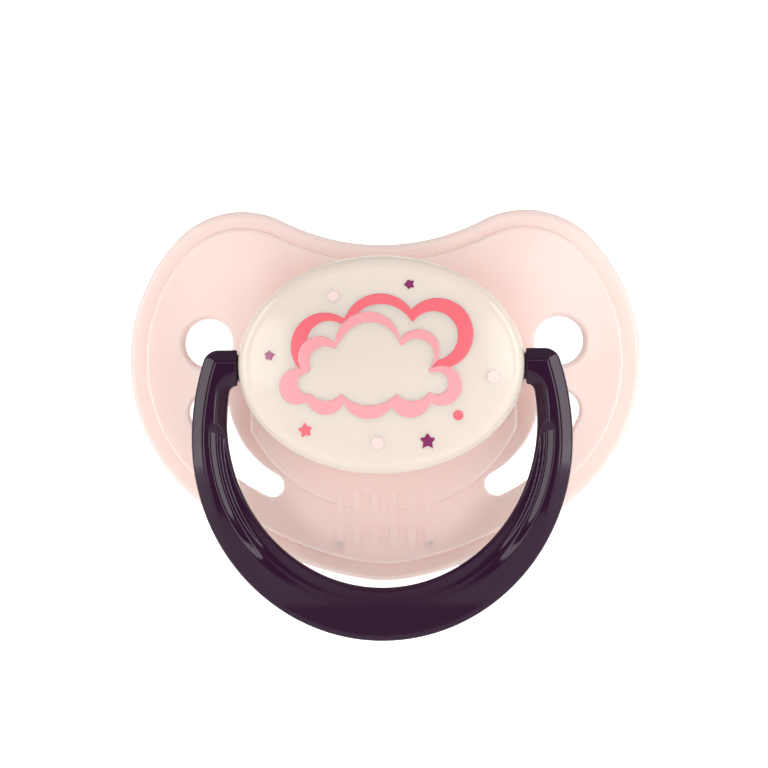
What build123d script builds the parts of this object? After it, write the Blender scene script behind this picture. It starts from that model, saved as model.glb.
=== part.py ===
from math import asin, degrees, sqrt
import os

from build123d import *

# A baby's soother: a butterfly shield, a teat behind it, and a knob in front that carries a swinging ring handle.
# Millimetres. X is the wearer's left to right seen from the front, Z is up, and the front faces -Y.
# The teat axis is the Y axis, and y = 0 is the mouth side of the shield on that axis.
# "Depth" below means the distance in front of y = 0, so depth = -y.

# Shield outline: a chain of tangent arcs, mirrored left to right
shield_width = 50.0
lobe_from_side = 11.16
lobe_z = 6.22
lobe_radius = 8.88
notch_z = 11.73
side_radius = 17.25
bottom_radius = 12.63
bottom_arc_reach = 2.04
bottom_z = -21.05

# Shield section: the wings curve back around the mouth
shield_radius_across = 52.0
shield_radius_upright = 90.0
rim_thickness = 1.8
panel_thickness = 2.3
rim_width = 1.65
rim_rounding = 0.75
panel_rounding = 0.4

# Shield openings
vent_x = 17.07
vent_z = 2.26
vent_radius = 2.35
vent_rounding = 0.45
slot_top = Vector(17.05, -4.5)
slot_top_radius = 1.95
slot_end = Vector(10.95, -11.65)
slot_end_radius = 1.15
slot_outer_radius = 14.8
slot_inner_radius = 9.33
slot_rounding = 0.3

# Small raised grip bars on the shield below the knob
bar_rows = (-13.3, -16.7)
bars_per_row = 6
bar_pitch = 1.75
bar_width = 0.8
bar_length = 2.2
bar_height = 0.18

# Seat of the knob on the shield: a flat plinth under the knob, and a raised pad around its lower half
seat_inset = 0.7
pad_depth = 3.2
pad_radius = 14.4
pad_half_width = 13.0
pad_rounding = 0.3
bore_radius = 6.2
seat_ledge = 2.1
seat_radius = bore_radius + seat_ledge
foot_thickness = 1.4
plug_flange_thickness = 1.0

# Knob
knob_half_width = 13.9
knob_half_height = 10.6
knob_front_depth = 11.2
dome_radius_across = 42.0
dome_radius_upright = 30.0
knob_front_rounding = 1.7
knob_rear_rounding = 0.7
knob_wall = 1.85
knob_ceiling = 1.4
knob_floor = 1.0
pivot_depth = 6.2
pivot_z = -0.2

# Handle pivots
pin_radius = 1.3
pin_clearance = 0.06
head_step = 0.5
head_radius = pin_radius + head_step
head_length = 0.8
head_clearance = 0.3
end_play = 0.08
arm_radius = 1.75
arm_gap = 0.12

# Locating pegs and lip between the two knob shells
peg_x = 8.0
peg_radius = 1.0
peg_clearance = 0.02
peg_boss_radius = 2.0
peg_reach = 1.5
lip_thickness = 0.8
lip_reach = 1.0
lip_clearance = 0.1

# Handle ring
ring_half_width = 18.5
ring_half_height = 19.5
ring_centre_z = -7.3
opening_half_width = 15.05
opening_half_height = 16.2
opening_centre_z = -5.4
ledge_half_width = 16.6
ledge_half_height = 17.4
ledge_centre_z = -6.9
ledge_top_z = -5.6
ledge_drop = 1.2
ring_thickness = 3.6
taper_top_z = -8.0
taper_low_z = -21.0
ring_front_rounding = 0.8
ring_back_rounding = 0.6
elbow_rounding = 1.2
arm_length = 0.7

# Teat, plug and spigot
teat_wall = 1.1
fit_gap = 0.05
clamped_wall = 1.2
barrel_radius = bore_radius - clamped_wall - 2 * fit_gap
barrel_wall = 1.0
barrel_bore_radius = barrel_radius - barrel_wall
barrel_end = 2.3
barb_step = 0.6
barb_radius = barrel_radius + barb_step
barb_start = 0.5
spigot_wall = 1.2
bead_step = 0.35
bead_radius = barrel_bore_radius + bead_step
bead_length = 0.8
spigot_slot = 1.0

# Teat sections behind the neck: distance behind the shield, half width, widest height, top, underside
teat_sections = (
    (3.2, 6.0, 0.0, 6.0, -6.0),
    (6.5, 5.5, 0.1, 5.4, -5.1),
    (10.5, 5.9, 0.4, 5.2, -4.3),
    (15.5, 7.6, 0.7, 5.9, -3.7),
    (20.5, 8.5, 0.9, 6.3, -3.3),
    (24.5, 8.1, 1.1, 6.1, -2.8),
    (27.5, 6.3, 1.4, 5.2, -1.8),
    (29.3, 3.6, 1.6, 3.7, -0.3),
)
teat_tip = (30.0, 1.7)


def unit(direction):
    """A vector of length one along the given direction."""
    return direction * (1 / direction.length)


def meet(centre_a, reach_a, centre_b, reach_b, side):
    """The point at the given distances from two centres, on the left (+1) or right (-1) of the line from a to b."""
    gap = (centre_b - centre_a).length
    along = (reach_a**2 - reach_b**2 + gap**2) / (2 * gap)
    across = sqrt(reach_a**2 - along**2)
    forward_axis = unit(centre_b - centre_a)
    left_axis = Vector(-forward_axis.Y, forward_axis.X)
    return centre_a + forward_axis * along + left_axis * (across * side)


def arc(centre, radius, start, end, towards):
    """The arc from start to end that passes the point of the circle in the given direction."""
    return ThreePointArc(start, centre + unit(towards) * radius, end)


def short_arc(centre, radius, start, end):
    """The shorter of the two arcs from start to end."""
    return arc(centre, radius, start, end, start + end - centre * 2)


def mirrored(point):
    """The same point on the other side of the upright centre line."""
    return Vector(-point.X, point.Y)


def flank_arc(side, bottom):
    """Radius and centre of the arc that touches the side arc and meets the bottom arc where that one ends."""
    down = -sqrt(bottom_radius**2 - bottom_arc_reach**2)
    ray = unit(Vector(bottom_arc_reach, down))
    gap = bottom - side
    along = gap.dot(ray)
    squares = gap.length**2 + 2 * bottom_radius * along + bottom_radius**2 - side_radius**2
    radius = squares / (2 * (along + bottom_radius - side_radius))
    return radius, bottom - ray * (radius - bottom_radius)


def shield_outline(inset):
    """The face inside the shield's outline, moved inward by the inset."""
    lobe_x = shield_width / 2 - lobe_from_side
    notch_drop = notch_z - lobe_z
    notch_radius = (lobe_x**2 + notch_drop**2 - lobe_radius**2) / (2 * (lobe_radius - notch_drop))
    notch = Vector(0, notch_z + notch_radius)
    lobe = Vector(lobe_x, lobe_z)
    side_x = shield_width / 2 - side_radius
    side_drop = sqrt((side_radius - lobe_radius) ** 2 - (side_x - lobe_x) ** 2)
    side = Vector(side_x, lobe_z - side_drop)
    bottom = Vector(0, bottom_z + bottom_radius)
    flank_radius, flank = flank_arc(side, bottom)
    notch_to_lobe = notch + unit(lobe - notch) * (notch_radius + inset)
    lobe_to_side = lobe + unit(lobe - side) * (lobe_radius - inset)
    side_to_flank = side + unit(side - flank) * (side_radius - inset)
    flank_to_bottom = bottom + unit(bottom - flank) * (bottom_radius - inset)
    top_point = Vector(0, notch_z - inset)
    low_point = Vector(0, bottom_z + inset)
    chain = (
        (notch, notch_radius + inset, top_point, notch_to_lobe),
        (lobe, lobe_radius - inset, notch_to_lobe, lobe_to_side),
        (side, side_radius - inset, lobe_to_side, side_to_flank),
        (flank, flank_radius - inset, side_to_flank, flank_to_bottom),
        (bottom, bottom_radius - inset, flank_to_bottom, low_point),
    )
    edges = []
    for centre, radius, start, end in chain:
        edges.append(short_arc(centre, radius, start, end))
        edges.append(short_arc(mirrored(centre), radius, mirrored(start), mirrored(end)))
    return make_face(edges)


def slot_outline(side):
    """The crescent opening on one side of the shield, grown out of two end circles and two long arcs."""
    outer = meet(
        slot_top, slot_outer_radius - slot_top_radius, slot_end, slot_outer_radius - slot_end_radius, -1
    )
    inner = meet(
        slot_top, slot_inner_radius + slot_top_radius, slot_end, slot_inner_radius + slot_end_radius, -1
    )
    top_outer = slot_top + unit(slot_top - outer) * slot_top_radius
    end_outer = slot_end + unit(slot_end - outer) * slot_end_radius
    top_inner = slot_top + unit(inner - slot_top) * slot_top_radius
    end_inner = slot_end + unit(inner - slot_end) * slot_end_radius
    edges = [
        short_arc(outer, slot_outer_radius, top_outer, end_outer),
        arc(slot_end, slot_end_radius, end_outer, end_inner, slot_end - slot_top),
        short_arc(inner, slot_inner_radius, end_inner, top_inner),
        arc(slot_top, slot_top_radius, top_inner, top_outer, slot_top - slot_end),
    ]
    face = make_face(edges)
    return face if side > 0 else mirror(face, Plane.YZ)


def block(sketch, start, end):
    """A front-view sketch given thickness from one depth to another."""
    return extrude(Plane.XZ.offset(start) * sketch, end - start)


def rod(radius, start, end):
    """A round rod along the teat axis."""
    return block(Circle(radius), start, end)


def cross_rod(radius, start, end):
    """A round rod on the handle's pivot axis between two x values."""
    return extrude(Plane.YZ.offset(start) * Pos(-pivot_depth, pivot_z) * Circle(radius), end - start)


def turned(points):
    """A solid of revolution about the teat axis from (radius, depth) points."""
    profile = Polyline([(radius, -depth) for radius, depth in points], close=True)
    return revolve(make_face(profile), Axis.Y)


def curved_slab(thickness):
    """A doubly curved slab whose mouth side passes y = 0 on the axis, bulging to the front."""
    reach = 10 - bottom_z
    far_side = 2 * shield_radius_across
    angle = degrees(asin(reach / shield_radius_upright))
    centre = (far_side - shield_radius_upright, 0)
    back = CenterArc(centre, shield_radius_upright, -angle, 2 * angle)
    front = CenterArc(centre, shield_radius_upright + thickness, -angle, 2 * angle)
    ends = [Line(back @ 0, front @ 0), Line(back @ 1, front @ 1)]
    profile = Plane.YZ * make_face([back, front, *ends])
    return revolve(profile, Axis((0, shield_radius_across, 0), (0, 0, 1)))


def edges_at(solid, near, sketch_edges, tolerance=0.02):
    """The solid's edges whose middle point lies above one of the sketch's edges, on the front or mouth side."""
    found = []
    for edge in solid.edges():
        middle = edge @ 0.5
        flat = Vertex(middle.X, middle.Z, 0)
        if near(middle) and min(line.distance_to(flat) for line in sketch_edges) < tolerance:
            found.append(edge)
    return found


def make_pad():
    """The raised pad around the knob's lower half: bent upright like the shield, but straight across."""
    reach = 20.0
    front_radius = shield_radius_upright + panel_thickness
    angle = degrees(asin(reach / front_radius))
    front = CenterArc((shield_radius_upright, 0), front_radius, 180 - angle, 2 * angle)
    side_view = make_face([front, Line(front @ 0, front @ 1)])
    bend = extrude(Plane.YZ * side_view, pad_half_width, both=True)
    lower_half = Pos(0, -pad_radius) * Rectangle(2 * pad_half_width, 2 * pad_radius)
    pad = block(Circle(pad_radius) & lower_half, 0, pad_depth) & bend
    front_edges = [edge for edge in pad.edges() if edge.length > 1 and is_pad_rim(edge @ 0.5)]
    return fillet(front_edges, pad_rounding)


def is_pad_rim(middle):
    """Whether a point lies on the pad's front border, away from its straight top."""
    on_side = abs(abs(middle.X) - pad_half_width) < 0.01
    on_round = abs(sqrt(middle.X**2 + middle.Z**2) - pad_radius) < 0.01
    return (on_side or on_round) and middle.Y < -0.1 and middle.Z < -0.1


def make_shield():
    outline = shield_outline(0)
    panel_outline = shield_outline(rim_width)
    rim = block(outline, -20, 10) & curved_slab(rim_thickness)
    border = edges_at(rim, lambda middle: True, outline.edges())
    rim = fillet(border, rim_rounding)
    panel = block(panel_outline, -20, 10) & curved_slab(panel_thickness)
    step = edges_at(panel, lambda middle: depth_over_back(middle) > rim_thickness, panel_outline.edges())
    panel = fillet(step, panel_rounding)
    shield = rim + panel
    vents = [Pos(vent_x * side, vent_z) * Circle(vent_radius) for side in (-1, 1)]
    slots = [slot_outline(side) for side in (-1, 1)]
    for holes, rounding in ((vents, vent_rounding), (slots, slot_rounding)):
        for hole in holes:
            shield = shield - block(hole, -20, 10)
            mouth = edges_at(shield, lambda middle: True, hole.edges())
            shield = fillet(mouth, rounding)
    plinth = block(knob_ellipse(seat_inset), 0, pad_depth)
    shield = shield + make_pad() + plinth
    for row_z in bar_rows:
        for number in range(bars_per_row):
            bar_x = (number - (bars_per_row - 1) / 2) * bar_pitch
            bar = Pos(bar_x, row_z) * Rot(0, 0, 90) * SlotOverall(bar_length, bar_width)
            shield = shield + (block(bar, 0.5, 10) & curved_slab(panel_thickness + bar_height))
    seat_floor = pad_depth - plug_flange_thickness - foot_thickness
    shield = shield - rod(bore_radius, -5, 10) - rod(seat_radius, seat_floor, 10)
    return shield


def depth_over_back(point):
    """How far a point stands in front of the shield's mouth-side surface, measured square to that surface."""
    flat_distance = sqrt(point.X**2 + (point.Y - shield_radius_across) ** 2)
    tube_offset = flat_distance - (shield_radius_across - shield_radius_upright)
    return sqrt(tube_offset**2 + point.Z**2) - shield_radius_upright


def teat_section(row, wall):
    """One closed section across the teat: two half ellipses that meet at the widest height."""
    distance, half_width, widest, top, underside = row
    plane = Plane((0, distance, 0), x_dir=(1, 0, 0), z_dir=(0, -1, 0))
    centre = (0, widest)
    upper = EllipticalCenterArc(centre, half_width - wall, top - widest - wall, 0, arc_size=180)
    lower = EllipticalCenterArc(centre, half_width - wall, widest - underside - wall, 180, arc_size=180)
    return plane * make_face([upper, lower])


def teat_bulb(wall):
    """The teat's body behind the neck, shrunk by the wall for the hollow inside."""
    sections = [teat_section(row, wall) for row in teat_sections]
    tip = Vertex(0, teat_tip[0] - wall, teat_tip[1])
    return loft(sections + [tip])


def make_teat():
    foot_front = pad_depth - plug_flange_thickness
    foot_back = foot_front - foot_thickness
    neck_end = -teat_sections[0][0]
    body_radius = bore_radius - fit_gap
    bulge_radius = barb_radius + fit_gap + teat_wall
    neck_radius = teat_sections[0][1]
    outside = turned(
        (
            (0, foot_front),
            (seat_radius - 0.1, foot_front),
            (seat_radius - 0.1, foot_back),
            (body_radius, foot_back),
            (body_radius, -barb_start),
            (bulge_radius, -barb_start - 0.4),
            (bulge_radius, -barrel_end + 0.3),
            (neck_radius, neck_end),
            (0, neck_end),
        )
    )
    inside = turned(
        (
            (0, foot_front + 1),
            (barrel_radius + fit_gap, foot_front + 1),
            (barrel_radius + fit_gap, -barb_start),
            (barb_radius + fit_gap, -barb_start),
            (barb_radius + fit_gap, -barrel_end - fit_gap),
            (neck_radius - teat_wall, neck_end),
            (0, neck_end),
        )
    )
    return (outside + teat_bulb(0)) - (inside + teat_bulb(teat_wall))


def make_teat_plug():
    flange_back = pad_depth - plug_flange_thickness
    return turned(
        (
            (barrel_bore_radius, pad_depth),
            (seat_radius - 0.1, pad_depth),
            (seat_radius - 0.1, flange_back),
            (barrel_radius, flange_back),
            (barrel_radius, -barb_start),
            (barb_radius, -barb_start),
            (barb_radius, -barb_start - 0.5),
            (barrel_radius, -barrel_end),
            (barrel_bore_radius, -barrel_end),
        )
    )


def knob_ellipse(inset):
    return Ellipse(knob_half_width - inset, knob_half_height - inset)


def knob_dome(drop):
    """Everything behind the domed front, moved back by the drop."""
    front = knob_front_depth - drop
    reach = 20.0
    angle = degrees(asin(reach / dome_radius_upright))
    far_side = 2 * dome_radius_across - front
    centre = (far_side - dome_radius_upright, 0)
    face_arc = CenterArc(centre, dome_radius_upright, -angle, 2 * angle)
    middle_y = dome_radius_across - front
    corners = [(middle_y, -reach), (middle_y, reach)]
    lines = [Line(face_arc @ 0, corners[0]), Line(corners[0], corners[1]), Line(corners[1], face_arc @ 1)]
    profile = Plane.YZ * make_face([face_arc, *lines])
    return revolve(profile, Axis((0, middle_y, 0), (0, 0, 1)))


def pin_clearances():
    """Room for both pivot pins and their heads, shared by the two knob shells."""
    wall_inner = knob_half_width - knob_wall
    head_room = head_radius + head_clearance
    hole = cross_rod(pin_radius + pin_clearance, -knob_half_width - 1, knob_half_width + 1)
    left_room = cross_rod(head_room, -wall_inner, -wall_inner + head_length + 1)
    right_room = cross_rod(head_room, wall_inner - head_length - 1, wall_inner)
    return hole + left_room + right_room


def make_knob_base():
    shell = block(knob_ellipse(0), pad_depth, pivot_depth)
    rear_edges = shell.faces().sort_by(Axis.Y)[-1].edges()
    shell = fillet(rear_edges, knob_rear_rounding)
    shell = shell - block(knob_ellipse(knob_wall), pad_depth + knob_floor, pivot_depth + 1)
    bead_back = -barrel_end - fit_gap
    spigot_radius = barrel_bore_radius - fit_gap
    spigot = turned(
        (
            (spigot_radius - spigot_wall, 2.2),
            (0, 2.2),
            (0, pad_depth + 0.5),
            (spigot_radius, pad_depth + 0.5),
            (spigot_radius, bead_back),
            (bead_radius, bead_back),
            (spigot_radius - 0.2, bead_back - bead_length),
            (spigot_radius - spigot_wall, bead_back - bead_length),
        )
    )
    slit = block(Rectangle(spigot_slot, 4 * bead_radius), bead_back - bead_length - 1, 0)
    spigot = spigot - slit
    base = shell + spigot - pin_clearances()
    for side in (-1, 1):
        boss = Pos(peg_x * side, 0) * Circle(peg_boss_radius)
        socket = Pos(peg_x * side, 0) * Circle(peg_radius + peg_clearance)
        base = base + block(boss, pad_depth + knob_floor / 2, pivot_depth)
        base = base - block(socket, pivot_depth - peg_reach - 0.1, pivot_depth + 1)
    return base


def make_knob_cap():
    shell = block(knob_ellipse(0), pivot_depth, knob_front_depth + 1) & knob_dome(0)
    front_edges = shell.edges().filter_by(lambda edge: (edge @ 0.5).Y < -pivot_depth - 0.5)
    front_edges = [edge for edge in front_edges if edge.length > 5]
    shell = fillet(front_edges, knob_front_rounding)
    hollow = block(knob_ellipse(knob_wall), pivot_depth - 1, knob_front_depth) & knob_dome(knob_ceiling)
    cap = shell - hollow
    lip_outer = knob_ellipse(knob_wall + lip_clearance)
    lip_inner = knob_ellipse(knob_wall + lip_clearance + lip_thickness)
    lip_root = block(knob_ellipse(knob_wall - 0.2) - lip_inner, pivot_depth, pivot_depth + 0.8)
    lip = lip_root + block(lip_outer - lip_inner, pivot_depth - lip_reach, pivot_depth + 0.4)
    pin_window = Pos(0, pivot_z) * Rectangle(2 * knob_half_width + 2, 2 * (head_radius + head_clearance) + 0.6)
    lip = lip - block(pin_window, pivot_depth - lip_reach - 1, pivot_depth + 3)
    cap = cap + lip - pin_clearances()
    for side in (-1, 1):
        peg = Pos(peg_x * side, 0) * Circle(peg_radius)
        post = Pos(peg_x * side, 0) * Circle(peg_boss_radius - 0.3)
        peg_solid = block(peg, pivot_depth - peg_reach, pivot_depth + 1)
        post_solid = block(post, pivot_depth, knob_front_depth) & knob_dome(knob_ceiling / 2)
        cap = cap + peg_solid + post_solid
    return cap


def ring_side_view():
    """The handle seen from the side: full thickness at the top, a thinner bar along the bottom."""
    back = ring_thickness / 2 - pivot_depth
    front = -ring_thickness / 2 - pivot_depth
    bar_front = front + ledge_drop
    top = arm_radius + 1
    low = ring_centre_z - ring_half_height - 1
    taper = Spline((front, taper_top_z), (bar_front, taper_low_z), tangents=[(0, -1), (0, -1)])
    outline = [
        Polyline((bar_front, taper_low_z), (bar_front, low), (back, low), (back, top), (front, top)),
        Line((front, top), (front, taper_top_z)),
        taper,
    ]
    return extrude(Plane.YZ * make_face(outline), ring_half_width + 2, both=True)


def below(height):
    """A wide front-view rectangle that reaches down from the given height."""
    size = 4 * ring_half_width
    return Pos(0, height - size / 2) * Rectangle(size, size)


def make_ring_handle():
    arm_start = knob_half_width + arm_gap
    block_start = arm_start + arm_length
    outside = Pos(0, ring_centre_z) * Ellipse(ring_half_width, ring_half_height)
    opening = Pos(0, opening_centre_z) * Ellipse(opening_half_width, opening_half_height)
    outline = (outside & below(pivot_z + arm_radius)) - (opening & below(pivot_z - arm_radius))
    outline = outline - Pos(0, pivot_z) * Rectangle(2 * block_start, 4 * arm_radius)
    elbows = outline.vertices().sort_by(Axis.Y)[-4:].sort_by(Axis.X)
    outline = fillet([elbows[0], elbows[-1]], elbow_rounding)
    ring = block(outline, 0, 12) & ring_side_view()
    bar_front = pivot_depth + ring_thickness / 2 - ledge_drop
    ring_back = pivot_depth - ring_thickness / 2
    front_edges = edges_at(ring, lambda middle: middle.Y < 0.1 - bar_front, outline.edges())
    ring = fillet(front_edges, ring_front_rounding)
    back_edges = edges_at(ring, lambda middle: middle.Y > -0.1 - ring_back, outline.edges())
    ring = fillet(back_edges, ring_back_rounding)
    ledge = Pos(0, ledge_centre_z) * Ellipse(ledge_half_width, ledge_half_height)
    ring = ring - block(ledge & below(ledge_top_z), bar_front, 12)
    head_face = knob_half_width - knob_wall - end_play
    for side in (-1, 1):
        ring = ring + cross_rod(arm_radius, arm_start * side, (block_start + 1) * side)
        ring = ring + cross_rod(pin_radius, head_face * side, (arm_start + 0.3) * side)
        ring = ring + cross_rod(head_radius, (head_face - head_length) * side, head_face * side)
    return ring


os.makedirs("parts", exist_ok=True)
nodes = {
    "shield": make_shield,
    "teat": make_teat,
    "teat_plug": make_teat_plug,
    "knob_base": make_knob_base,
    "knob_cap": make_knob_cap,
    "ring_handle": make_ring_handle,
}
for name, make in nodes.items():
    export_step(make(), f"parts/{name}.step")
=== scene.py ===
import math

import bpy
import numpy as np
from mathutils import Matrix, Vector
from mathutils.bvhtree import BVHTree


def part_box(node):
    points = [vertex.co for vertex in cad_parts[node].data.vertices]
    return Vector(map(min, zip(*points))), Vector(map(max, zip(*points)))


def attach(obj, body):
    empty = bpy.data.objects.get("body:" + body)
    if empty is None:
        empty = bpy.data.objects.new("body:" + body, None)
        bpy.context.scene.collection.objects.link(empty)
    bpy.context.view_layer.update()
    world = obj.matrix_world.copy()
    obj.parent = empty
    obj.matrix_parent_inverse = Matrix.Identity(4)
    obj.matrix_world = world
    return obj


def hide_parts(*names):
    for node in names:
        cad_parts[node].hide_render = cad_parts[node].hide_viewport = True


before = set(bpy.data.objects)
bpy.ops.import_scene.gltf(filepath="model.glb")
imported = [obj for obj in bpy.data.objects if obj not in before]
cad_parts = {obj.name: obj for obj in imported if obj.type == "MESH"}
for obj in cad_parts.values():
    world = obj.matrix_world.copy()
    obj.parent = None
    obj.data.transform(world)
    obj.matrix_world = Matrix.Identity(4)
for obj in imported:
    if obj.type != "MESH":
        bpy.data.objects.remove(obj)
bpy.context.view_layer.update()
MM = 0.001

# Named sizes in millimetres. "Depth" is the distance in front of y = 0.
# Most repeat the CAD model's. The handle's ledge, taper, steps and facets are finer than the CAD's.
pivot_depth = 6.2
pivot_z = -0.2
arm_radius = 1.75
arm_start = 14.02
pin_radius = 1.3
head_radius = 1.8
head_face = 11.97
head_length = 0.8
ring_half_width = 18.5
ring_half_height = 19.5
ring_half_height_above = 22.0
ring_centre_z = -7.3
opening_half_width = 15.05
opening_half_height = 16.2
opening_centre_z = -5.4
ledge_half_width = 16.75
ledge_half_height = 17.4
ledge_centre_z = -6.9
ledge_top_z = -5.6
half_thickness = 1.8
ledge_drop = 1.2
taper_top_z = -14.0
taper_low_z = -23.5
first_step_drop = 0.6
first_step_width = 0.75
second_step_start = 1.0
second_step_drop = 0.24
second_step_width = 0.4
edge_facet = 0.9
least_facet = 0.25
facet_angle = math.radians(40)
inner_facet = 0.8
teat_length = 30.0
teat_wall = 1.1
teat_widest_y = 20.5
foot_front_y = -2.2
foot_back_y = -0.8
foot_radius = 8.2
bore_radius = 6.15
barb_radius = 5.55
barrel_radius = 4.95


# ---------------------------------------------------------------- small mesh tools


def new_object(name, points, faces, material, smooth=True):
    """A mesh object from points in millimetres."""
    mesh = bpy.data.meshes.new(name)
    mesh.from_pydata([tuple(p) for p in np.asarray(points) * MM], [], [tuple(f) for f in faces])
    mesh.update()
    for polygon in mesh.polygons:
        polygon.use_smooth = smooth
    obj = bpy.data.objects.new(name, mesh)
    bpy.context.collection.objects.link(obj)
    obj.data.materials.append(material)
    return obj


def smoothstep(low, high, value):
    t = np.clip((value - low) / (high - low), 0, 1)
    return t * t * (3 - 2 * t)


def round_max(a, b, radius):
    """The overlap of two solids given by distance, with a round edge of the given radius."""
    corner = np.hypot(np.maximum(a + radius, 0), np.maximum(b + radius, 0))
    return np.minimum(np.maximum(a, b), -radius) + corner


def soft_ramp(value, width, corner=0.12):
    """Rises from 0 to 1 over the width, with rounded corners."""
    return (np.hypot(value, corner) - np.hypot(value - width, corner) + width) / (2 * width)


def ellipse_distance(x, z, half_width, half_height, centre_z):
    """Close to the signed distance from an ellipse, negative inside."""
    u, v = x / half_width, (z - centre_z) / half_height
    k0 = np.hypot(u, v) + 1e-9
    k1 = np.hypot(u / half_width, v / half_height) + 1e-9
    return k0 * (k0 - 1) / k1


def gradient(field, points):
    """The field's slope at each point, by central differences."""
    step = 0.01
    columns = []
    for axis in range(3):
        shift = np.zeros(3)
        shift[axis] = step
        ahead = field(*(points + shift).T)
        behind = field(*(points - shift).T)
        columns.append((ahead - behind) / (2 * step))
    return np.stack(columns, axis=1)


def net_surface(field, low, high, cell):
    """Points, quads and normals of the surface where the field is zero, found on a grid and moved onto it."""
    axes = [np.arange(a, b + cell, cell) for a, b in zip(low, high)]
    grid = np.meshgrid(*axes, indexing="ij")
    value = field(*grid)
    inside = value < 0
    cells = tuple(n - 1 for n in value.shape)
    total = np.zeros((*cells, 3))
    count = np.zeros(cells)
    for axis in range(3):
        others = [a for a in range(3) if a != axis]
        for first in (0, 1):
            for second in (0, 1):
                start = [slice(0, n) for n in cells]
                start[others[0]] = slice(first, cells[others[0]] + first)
                start[others[1]] = slice(second, cells[others[1]] + second)
                end = list(start)
                end[axis] = slice(1, cells[axis] + 1)
                a, b = value[tuple(start)], value[tuple(end)]
                crosses = (a < 0) != (b < 0)
                share = np.where(crosses, a / np.where(crosses, a - b, 1), 0)
                for column in range(3):
                    place = grid[column][tuple(start)] + (share * cell if column == axis else 0)
                    total[..., column] += np.where(crosses, place, 0)
                count += crosses
    active = count > 0
    index = np.full(cells, -1)
    index[active] = np.arange(active.sum())
    points = total[active] / count[active][:, None]
    quads = []
    for axis in range(3):
        a_axis, b_axis = [(1, 2), (2, 0), (0, 1)][axis]
        inner = [slice(1, n - 1) for n in value.shape]
        inner[axis] = slice(0, value.shape[axis] - 1)
        ahead = list(inner)
        ahead[axis] = slice(1, value.shape[axis])
        here, there = inside[tuple(inner)], inside[tuple(ahead)]
        for wanted in (True, False):
            where = np.argwhere((here != there) & (here == wanted))
            offset = np.ones(3, int)
            offset[axis] = 0
            corner = where + offset
            ring = []
            for da, db in ((-1, -1), (0, -1), (0, 0), (-1, 0)):
                cell_at = corner.copy()
                cell_at[:, a_axis] += da
                cell_at[:, b_axis] += db
                ring.append(index[tuple(cell_at.T)])
            ring = np.stack(ring, axis=1)
            quads.append(ring if wanted else ring[:, ::-1])
    quads = np.concatenate(quads)
    for _ in range(4):
        slope = gradient(field, points)
        size = (slope**2).sum(axis=1) + 1e-9
        move = -field(*points.T) / size
        move = np.clip(move, -cell / 2, cell / 2)
        points = points + slope * move[:, None]
    normals = gradient(field, points)
    normals /= np.linalg.norm(normals, axis=1)[:, None] + 1e-9
    return points, quads, normals


def field_object(name, field, low, high, cell, material):
    """A smooth object from a distance field in millimetres, shaded with the field's own normals."""
    points, quads, normals = net_surface(field, low, high, cell)
    obj = new_object(name, points, quads.tolist(), material)
    obj.data.normals_split_custom_set_from_vertices(normals.tolist())
    return obj


# ---------------------------------------------------------------- materials


def plastic(name, colour, roughness, grain, mottle, subsurface=0.0, radius=(1, 1, 1), coat=0.0, ior=1.49):
    """Moulded plastic: a faint cloudiness in the colour and gloss, and a fine mould grain."""
    material = bpy.data.materials.new(name)
    material.use_nodes = True
    nodes, links = material.node_tree.nodes, material.node_tree.links
    shader = nodes["Principled BSDF"]
    place = nodes.new("ShaderNodeTexCoord")
    cloud = nodes.new("ShaderNodeTexNoise")
    cloud.inputs["Scale"].default_value = 90
    cloud.inputs["Detail"].default_value = 3
    links.new(place.outputs["Object"], cloud.inputs["Vector"])
    tint = nodes.new("ShaderNodeMix")
    tint.data_type = "RGBA"
    tint.inputs["A"].default_value = (*[c * (1 - mottle) for c in colour], 1)
    tint.inputs["B"].default_value = (*[min(1, c * (1 + mottle)) for c in colour], 1)
    links.new(cloud.outputs["Fac"], tint.inputs["Factor"])
    links.new(tint.outputs["Result"], shader.inputs["Base Color"])
    gloss = nodes.new("ShaderNodeMapRange")
    gloss.inputs["To Min"].default_value = roughness * 0.85
    gloss.inputs["To Max"].default_value = roughness * 1.15
    links.new(cloud.outputs["Fac"], gloss.inputs["Value"])
    links.new(gloss.outputs["Result"], shader.inputs["Roughness"])
    fine = nodes.new("ShaderNodeTexNoise")
    fine.inputs["Scale"].default_value = 2500
    fine.inputs["Detail"].default_value = 2
    links.new(place.outputs["Object"], fine.inputs["Vector"])
    bump = nodes.new("ShaderNodeBump")
    bump.inputs["Strength"].default_value = grain
    bump.inputs["Distance"].default_value = 0.00002
    links.new(fine.outputs["Fac"], bump.inputs["Height"])
    links.new(bump.outputs["Normal"], shader.inputs["Normal"])
    shader.inputs["Subsurface Weight"].default_value = subsurface
    shader.inputs["Subsurface Radius"].default_value = radius
    shader.inputs["Subsurface Scale"].default_value = MM
    shader.inputs["Coat Weight"].default_value = coat
    shader.inputs["Coat Roughness"].default_value = 0.05
    shader.inputs["IOR"].default_value = ior
    return material


def silicone(name):
    """Clear, slightly cloudy silicone rubber."""
    material = plastic(name, (0.97, 0.95, 0.90), 0.22, 0.12, 0.02, ior=1.41)
    shader = material.node_tree.nodes["Principled BSDF"]
    shader.inputs["Transmission Weight"].default_value = 0.8
    return material


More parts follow.
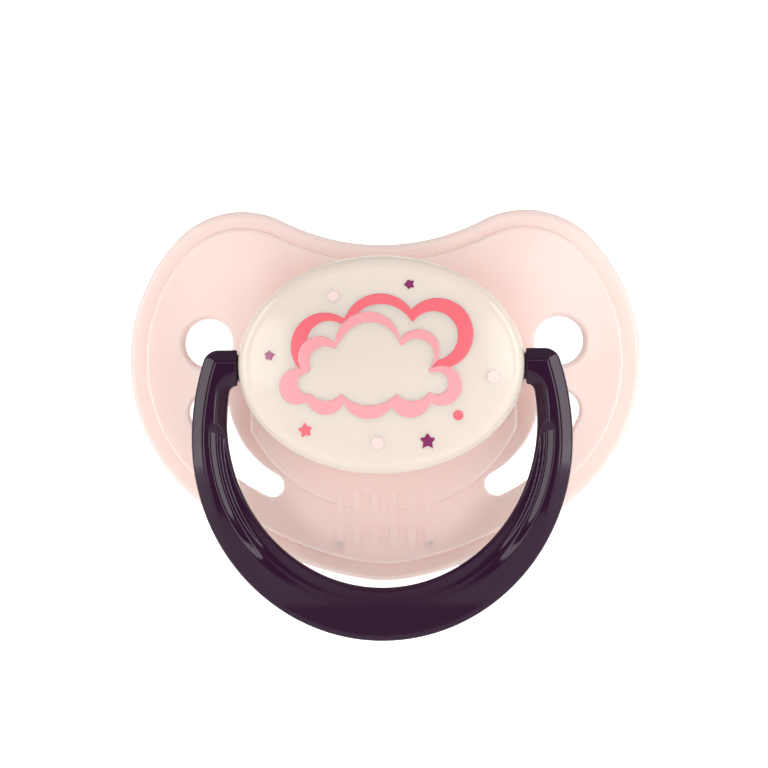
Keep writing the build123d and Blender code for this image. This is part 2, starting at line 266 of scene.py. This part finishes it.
shield_material = plastic("shield_pink", (0.97, 0.74, 0.69), 0.24, 0.12, 0.012, 0.55, (3.0, 1.9, 1.6), 0.1)
knob_material = plastic("knob_milk", (0.90, 0.76, 0.665), 0.18, 0.06, 0.012, 0.6, (2.2, 2.0, 1.7), 0.15)
base_material = plastic("knob_base_milk", (0.93, 0.83, 0.75), 0.22, 0.1, 0.012, 0.5, (2.2, 2.0, 1.7), 0.1)
plug_material = plastic("plug_natural", (0.80, 0.78, 0.72), 0.3, 0.15, 0.015, 0.3, (1.5, 1.5, 1.3))
handle_material = plastic("handle_aubergine", (0.023, 0.0007, 0.020), 0.1, 0.04, 0.05, ior=1.4)
teat_material = silicone("teat_silicone")
ink_pink = plastic("ink_pink", (0.97, 0.40, 0.43), 0.22, 0.1, 0.01)
ink_pale = plastic("ink_pale", (0.97, 0.74, 0.71), 0.22, 0.1, 0.01)
ink_coral = plastic("ink_coral", (0.95, 0.165, 0.205), 0.22, 0.1, 0.01)
ink_purple = plastic("ink_purple", (0.25, 0.002, 0.11), 0.22, 0.1, 0.02)
ink_lilac = plastic("ink_lilac", (0.44, 0.12, 0.25), 0.22, 0.1, 0.02)


def finish_node(node, material):
    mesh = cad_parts[node].data
    mesh.materials.clear()
    mesh.materials.append(material)


finish_node("shield", shield_material)
finish_node("knob_base", base_material)
finish_node("knob_cap", knob_material)
finish_node("teat_plug", plug_material)
finish_node("teat", teat_material)
finish_node("ring_handle", handle_material)


# ---------------------------------------------------------------- ring handle


def handle_field(x, y, z):
    """The moulded handle: an outer rib and a lower inner ledge that merge into a flat blade at the bottom."""
    x = np.abs(x)
    depth = -y
    half_height = np.where(z > ring_centre_z, ring_half_height_above, ring_half_height)
    outer = ellipse_distance(x, z, ring_half_width, half_height, ring_centre_z)
    inner = ellipse_distance(x, z, opening_half_width, opening_half_height, opening_centre_z)
    ledge = ellipse_distance(x, z, ledge_half_width, ledge_half_height, ledge_centre_z)
    outline = round_max(outer, z - (pivot_z + arm_radius), 1.0)
    hole = round_max(inner, z - (pivot_z - arm_radius), 0.6)
    outline = np.maximum(outline, -hole)
    taper = smoothstep(taper_top_z, taper_low_z, z)
    rib_front = pivot_depth + half_thickness - ledge_drop * taper
    inside_ledge = -round_max(ledge, z - ledge_top_z, 0.9)
    first_step = first_step_drop * soft_ramp(inside_ledge, first_step_width)
    second_step = second_step_drop * soft_ramp(inside_ledge - second_step_start, second_step_width, 0.1)
    front = rib_front - (first_step + second_step) * (1 - taper)
    face = (depth - front) / 1.3
    body = round_max(outline, face, 0.3)
    facet = edge_facet * smoothstep(-21.0, -12.0, z) + least_facet
    past_front = depth - rib_front
    outer_cut = past_front * math.cos(facet_angle) + (outline + facet) * math.sin(facet_angle)
    body = round_max(body, outer_cut, 0.15)
    near_elbow = smoothstep(-6.5, -5.0, z)
    inner_cut = (past_front + inner_facet - hole) / math.sqrt(2)
    body = round_max(body, inner_cut - 2 * (1 - near_elbow), 0.25)
    back = pivot_depth - half_thickness - depth
    body = round_max(body, back, 0.6)
    body = round_max(body, np.minimum(arm_start - x, z + 4), 0.1)
    around_pin = np.hypot(depth - pivot_depth, z - pivot_z)
    head_middle = head_face - head_length / 2
    pin_ends = np.maximum(head_middle - x, x - arm_start - 0.5)
    pin = np.maximum(around_pin - pin_radius, pin_ends)
    head = round_max(around_pin - head_radius, np.abs(x - head_middle) - head_length / 2, 0.12)
    return np.minimum(np.minimum(body, pin), head)


def make_handle():
    low, high = [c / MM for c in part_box("ring_handle")[0]], [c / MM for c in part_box("ring_handle")[1]]
    cell = 0.14
    low = [v - 2 * cell for v in low]
    high = [v + 2 * cell for v in high]
    handle = field_object("ring_handle_visual", handle_field, low, high, cell, handle_material)
    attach(handle, "handle")
    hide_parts("ring_handle")


make_handle()


# ---------------------------------------------------------------- teat


def smooth_curve(at, places, values):
    """A smooth curve through the given values, level at both ends."""
    places, values = np.array(places), np.array(values)
    slopes = np.gradient(values, places)
    slopes[0] = slopes[-1] = 0
    n = np.clip(np.searchsorted(places, at) - 1, 0, len(places) - 2)
    width = places[n + 1] - places[n]
    t = (at - places[n]) / width
    start = values[n] * (1 + 2 * t) * (1 - t) ** 2 + values[n + 1] * t**2 * (3 - 2 * t)
    return start + width * (slopes[n] * t * (1 - t) ** 2 - slopes[n + 1] * t**2 * (1 - t))


def bulb_section(y, wall):
    """Half width, centre height, reach above and reach below of the flattened bulb, shrunk by the wall."""
    stations = (3.2, 6.5, 10.5, 15.5, teat_widest_y)
    body_y = min(y, teat_widest_y)
    half_width = smooth_curve(body_y, stations, (6.0, 5.5, 5.9, 7.6, 8.45)) - wall
    above = smooth_curve(body_y, stations, (6.0, 5.35, 4.9, 5.2, 5.4)) - wall
    below = smooth_curve(body_y, stations, (6.0, 5.3, 4.7, 4.35, 4.2)) - wall
    centre = smooth_curve(y, (3.2, 12.0, teat_widest_y, teat_length), (0.0, 0.5, 1.0, 1.7))
    past = max(0.0, y - teat_widest_y) / (teat_length - wall - teat_widest_y)
    roundness = 2.4
    shrink = (1 - min(past, 1.0) ** roundness) ** (1 / roundness)
    return half_width * shrink, centre, above * shrink, below * shrink


def make_teat():
    around = 80
    angles = np.arange(around) * 2 * math.pi / around
    points, faces = [], []

    def ring(y, half_width, centre=0.0, above=None, below=None):
        above = half_width if above is None else above
        below = half_width if below is None else below
        height = np.where(np.sin(angles) > 0, above, below)
        first = len(points)
        points.extend(zip(half_width * np.cos(angles), np.full(around, y), centre + height * np.sin(angles)))
        return [first + n for n in range(around)]

    def join(a, b):
        for n in range(around):
            m = (n + 1) % around
            faces.append((a[m], b[m], b[n], a[n]))

    def bulb_rings(wall):
        body = np.linspace(3.2, teat_widest_y, 26)
        tip_share = 1 - (1 - np.arange(1, 18) / 18) ** 2
        tips = teat_widest_y + (teat_length - wall - teat_widest_y) * tip_share
        return [ring(y, *bulb_section(y, wall)) for y in np.concatenate([body, tips])]

    outer = [ring(foot_front_y, foot_radius), ring(foot_back_y, foot_radius), ring(foot_back_y, bore_radius)]
    outer += [ring(y, bore_radius) for y in (-0.6, 0.0, 0.4)]
    for y in np.linspace(0.5, 3.1, 14):
        bulge = smoothstep(0.4, 1.0, y) * (barb_radius + teat_wall - bore_radius)
        outer.append(ring(y, bore_radius + bulge * smoothstep(3.2, 1.9, y) - 0.15 * smoothstep(1.9, 3.2, y)))
    outer += bulb_rings(0)
    inner = [ring(foot_front_y, barrel_radius), ring(0.45, barrel_radius), ring(0.5, barb_radius)]
    inner += [ring(2.35, barb_radius), ring(2.5, barb_radius - 0.15)]
    inner += bulb_rings(teat_wall)
    for chain in (outer, inner):
        for a, b in zip(chain, chain[1:]):
            if chain is outer:
                join(b, a)
            else:
                join(a, b)
        wall = 0 if chain is outer else teat_wall
        tip = len(points)
        points.append((0.0, teat_length - wall, bulb_section(teat_length - wall, wall)[1]))
        for n in range(around):
            m = (n + 1) % around
            fan = (chain[-1][m], chain[-1][n], tip)
            faces.append(fan if chain is outer else fan[::-1])
    join(outer[0], inner[0])
    teat = new_object("teat_visual", points, faces, teat_material)
    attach(teat, "soother")
    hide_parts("teat")


make_teat()


# ---------------------------------------------------------------- print on the knob


def star_field(x, z, centre_x, centre_z, size, turn):
    """A five-pointed star with straight sides, negative inside."""
    u, v = x - centre_x, z - centre_z
    angle = np.arctan2(u, v) - math.radians(turn)
    sector = 2 * math.pi / 5
    folded = np.abs((angle + sector / 2) % sector - sector / 2)
    reach = np.hypot(u, v)
    across, along = reach * np.sin(folded), reach * np.cos(folded)
    dent = 0.47 * size
    dent_x, dent_z = dent * math.sin(sector / 2), dent * math.cos(sector / 2)
    normal = np.array([size - dent_z, dent_x])
    normal = normal / np.linalg.norm(normal)
    return across * normal[0] + (along - size) * normal[1]


def polygon_field(x, z, corners):
    """The signed distance from a closed polygon, negative inside."""
    nearest = np.full(np.shape(x), 1e3)
    crossings = np.zeros(np.shape(x), int)
    for (ax, az), (bx, bz) in zip(corners, corners[1:] + corners[:1]):
        edge_x, edge_z = bx - ax, bz - az
        share = np.clip(((x - ax) * edge_x + (z - az) * edge_z) / (edge_x**2 + edge_z**2), 0, 1)
        nearest = np.minimum(nearest, np.hypot(x - ax - share * edge_x, z - az - share * edge_z))
        spans = (az > z) != (bz > z)
        crossings += spans & (x < ax + edge_x * (z - az) / (edge_z if edge_z else 1e-9))
    return np.where(crossings % 2 == 1, -nearest, nearest)


def cloud_field(x, z, lobes):
    """A cloud: round lobes, listed in order round the edge, with the middle filled in."""
    field = polygon_field(x, z, [(cx, cz) for cx, cz, _ in lobes])
    for centre_x, centre_z, radius in lobes:
        field = np.minimum(field, np.hypot(x - centre_x, z - centre_z) - radius)
    return field


# Each cloud outline is its lobes in order round the edge, as (x, z, radius).
front_outer = [
    (-8.1, -2.03, 1.74),
    (-5.94, 0.76, 2.06),
    (-1.19, 2.01, 3.16),
    (3.69, 1.35, 2.06),
    (5.93, -2.03, 1.94),
    (2.88, -3.13, 1.99),
    (-1.13, -2.54, 2.68),
    (-5.35, -2.91, 1.88),
]
front_inner = [
    (-7.01, -1.74, 1.04),
    (-5.35, 0.32, 1.54),
    (-1.01, 1.06, 3.09),
    (3.54, 0.84, 1.69),
    (5.5, -1.81, 1.1),
    (3.1, -1.62, 1.91),
    (-1.09, -0.19, 3.75),
    (-5.28, -1.54, 1.91),
]
back_outer = [
    (-5.38, 1.81, 3.29),
    (0.01, 3.25, 3.66),
    (5.56, 2.97, 3.46),
    (3.0, -0.5, 1.0),
    (-4.5, -0.5, 1.0),
]
back_inner = [
    (-4.91, 2.09, 2.21),
    (0.09, 2.46, 3.43),
    (5.16, 2.78, 2.38),
    (3.0, -0.5, 0.5),
    (-4.5, -0.5, 0.5),
]


def cloud_band(x, z):
    return np.maximum(cloud_field(x, z, front_outer), -cloud_field(x, z, front_inner))


def back_cloud_band(x, z):
    band = np.maximum(cloud_field(x, z, back_outer), -cloud_field(x, z, back_inner))
    return np.maximum(band, -cloud_field(x, z, front_outer) - 0.02)


def dots(*circles):
    return lambda x, z: np.min([np.hypot(x - cx, z - cz) - r for cx, cz, r in circles], axis=0)


def stars(*rows):
    return lambda x, z: np.min([star_field(x, z, *row) for row in rows], axis=0)


def clip_cell(corners, values):
    """The part of one grid square where the field is negative, as a list of (key, point) corners."""
    kept = []
    for this in range(4):
        after = (this + 1) % 4
        (key_a, point_a), (key_b, point_b) = corners[this], corners[after]
        a, b = values[this], values[after]
        if a < 0:
            kept.append((key_a, point_a))
        if (a < 0) != (b < 0):
            share = a / (a - b)
            key = (min(key_a, key_b), max(key_a, key_b))
            kept.append((key, point_a + (point_b - point_a) * share))
    return kept


cap_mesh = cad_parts["knob_cap"].data
cap_tree = BVHTree.FromPolygons([v.co for v in cap_mesh.vertices], [p.vertices for p in cap_mesh.polygons])
cap_low, cap_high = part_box("knob_cap")


def on_cap(x, z, lift):
    """The point on the cap's front above (x, z), lifted off it, in millimetres."""
    start = Vector((x * MM, cap_low.y - 0.01, z * MM))
    hit = cap_tree.ray_cast(start, Vector((0, 1, 0)))[0]
    return (hit.x / MM, hit.y / MM - lift, hit.z / MM)


def ink(name, field, material):
    """A thin printed layer on the cap wherever the field is negative, closed all round."""
    cell = 0.2
    xs = np.arange(cap_low.x / MM + 0.5, cap_high.x / MM - 0.5, cell)
    zs = np.arange(cap_low.z / MM + 0.5, cap_high.z / MM - 0.5, cell)
    grid_x, grid_z = np.meshgrid(xs, zs, indexing="ij")
    value = field(grid_x, grid_z)
    numbers, flat, faces = {}, [], []
    for i in range(len(xs) - 1):
        for k in range(len(zs) - 1):
            square = [(i, k), (i + 1, k), (i + 1, k + 1), (i, k + 1)]
            values = [value[s] for s in square]
            if min(values) >= 0:
                continue
            corners = [(s, np.array([xs[s[0]], zs[s[1]]])) for s in square]
            face = []
            for key, point in clip_cell(corners, values):
                if key not in numbers:
                    numbers[key] = len(flat)
                    flat.append(point)
                face.append(numbers[key])
            if len(face) > 2:
                faces.append(face)
    edge_use = {}
    for face in faces:
        for a, b in zip(face, face[1:] + face[:1]):
            edge_use[(a, b)] = edge_use.get((a, b), 0) + 1
    count = len(flat)
    points = [on_cap(x, z, 0.02) for x, z in flat] + [on_cap(x, z, -0.03) for x, z in flat]
    solid = faces + [[v + count for v in reversed(face)] for face in faces]
    for a, b in edge_use:
        if (b, a) not in edge_use:
            solid.append([b, a, a + count, b + count])
    patch = new_object(name, points, solid, material)
    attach(patch, "soother")


ink("print_cloud_front", cloud_band, ink_pink)
ink("print_cloud_back", back_cloud_band, ink_coral)
ink("print_dots_pale", dots((-4.54, 6.75, 0.55), (-0.35, -7.54, 0.62), (10.9, -1.22, 0.66)), ink_pale)
ink("print_dot_coral", dots((7.49, -4.93, 0.5)), ink_coral)
ink("print_star_coral", stars((-7.34, -6.29, 0.88, -8)), ink_coral)
ink("print_stars_purple", stars((4.5, -7.4, 0.92, 0), (2.85, 7.78, 0.68, -20)), ink_purple)
ink("print_star_lilac", stars((-10.79, 0.99, 0.68, 8)), ink_lilac)


# ---------------------------------------------------------------- stage, lights and camera


def make_stage():
    """A pale floor that sweeps up into a backdrop, far enough back to stay behind any camera. The whole sheet
    glows as painted light, brightest near the foot of the backdrop and dimmer over the floor, and its glow
    lights the object from below and behind.
    """
    floor_z, turn, back_y, half_width, height = -62.0, 400.0, 2000.0, 3000.0, 2200.0
    profile = [(-2000.0, floor_z), (back_y - turn, floor_z)]
    for step in range(1, 13):
        angle = math.pi / 2 * step / 12
        profile.append((back_y - turn + turn * math.sin(angle), floor_z + turn * (1 - math.cos(angle))))
    profile.append((back_y, height))
    points = [(side * half_width, y, z) for y, z in profile for side in (-1, 1)]
    faces = [(2 * n, 2 * n + 1, 2 * n + 3, 2 * n + 2) for n in range(len(profile) - 1)]
    material = bpy.data.materials.new("glowing_pale_paper")
    material.use_nodes = True
    nodes, links = material.node_tree.nodes, material.node_tree.links
    shader = nodes["Principled BSDF"]
    shader.inputs["Base Color"].default_value = (0.9, 0.9, 0.9, 1)
    shader.inputs["Roughness"].default_value = 0.9
    shader.inputs["Emission Color"].default_value = (1, 1, 1, 1)
    place = nodes.new("ShaderNodeTexCoord")
    around = nodes.new("ShaderNodeMapping")
    around.inputs["Location"].default_value = (0, -1.5, 0)
    away = nodes.new("ShaderNodeVectorMath")
    away.operation = "LENGTH"
    # Painted glow: emission strength falls from 1.0 near the foot of the backdrop to 0.36 over the floor near
    # the object, so the sheet itself lights the object.
    glow = nodes.new("ShaderNodeMapRange")
    glow.inputs["From Min"].default_value = 0.85
    glow.inputs["From Max"].default_value = 1.5
    glow.inputs["To Min"].default_value = 1.0
    glow.inputs["To Max"].default_value = 0.36
    links.new(place.outputs["Object"], around.inputs["Vector"])
    links.new(around.outputs["Vector"], away.inputs[0])
    links.new(away.outputs["Value"], glow.inputs["Value"])
    links.new(glow.outputs["Result"], shader.inputs["Emission Strength"])
    stage = new_object("floor_sweep", points, faces, material)


def area_light(name, place, target, width, height, power):
    data = bpy.data.lights.new(name, "AREA")
    data.shape = "RECTANGLE"
    data.size, data.size_y = width * MM, height * MM
    data.energy = power
    light = bpy.data.objects.new(name, data)
    bpy.context.collection.objects.link(light)
    light.location = Vector(place) * MM
    light.visible_camera = False
    light.rotation_mode = "QUATERNION"
    light.rotation_quaternion = (Vector(target) * MM - light.location).to_track_quat("-Z", "Y")


def make_lights():
    """Soft boxes above, beside and in front, with a brighter strip in front of each side box."""
    area_light("light_top", (0, -60, 420), (0, 0, 0), 700, 300, 0.16)
    area_light("light_front", (0, -480, 330), (0, 0, 0), 420, 160, 0.24)
    for side, strength in ((-1, 1.0), (1, 1.2)):
        area_light("light_side", (430 * side, -40, 70), (0, 0, 0), 300, 560, 0.25 * strength)
        area_light("light_strip", (400 * side, -100, 50), (0, 0, 0), 130, 560, 0.58 * strength)
        area_light("light_cheek", (340 * side, -440, 20), (0, 0, -10), 180, 300, 0.5 * strength)
    world = bpy.data.worlds.new("studio")
    world.use_nodes = True
    world.node_tree.nodes["Background"].inputs["Color"].default_value = (1, 1, 1, 1)
    world.node_tree.nodes["Background"].inputs["Strength"].default_value = 0.3
    bpy.context.scene.world = world


def make_camera():
    """Straight on to the front, turned a little to the object's right side and rolled slightly."""
    distance = 1200.0
    azimuth = math.radians(1.7)
    target = Vector((0.08, -2.0, -1.85)) * MM
    back = Vector((math.sin(azimuth), -math.cos(azimuth), 0))
    data = bpy.data.cameras.new("camera")
    data.sensor_width = 36
    data.lens = 18 * distance / 37.4
    camera = bpy.data.objects.new("camera", data)
    bpy.context.collection.objects.link(camera)
    camera.location = target + back * distance * MM
    look = (-back).to_track_quat("-Z", "Y").to_matrix().to_4x4()
    roll = Matrix.Rotation(math.radians(-0.45), 4, "Z")
    camera.matrix_world = Matrix.Translation(camera.location) @ look @ roll
    bpy.context.scene.camera = camera


make_stage()
make_lights()
make_camera()
bpy.context.scene.view_settings.view_transform = "Standard"
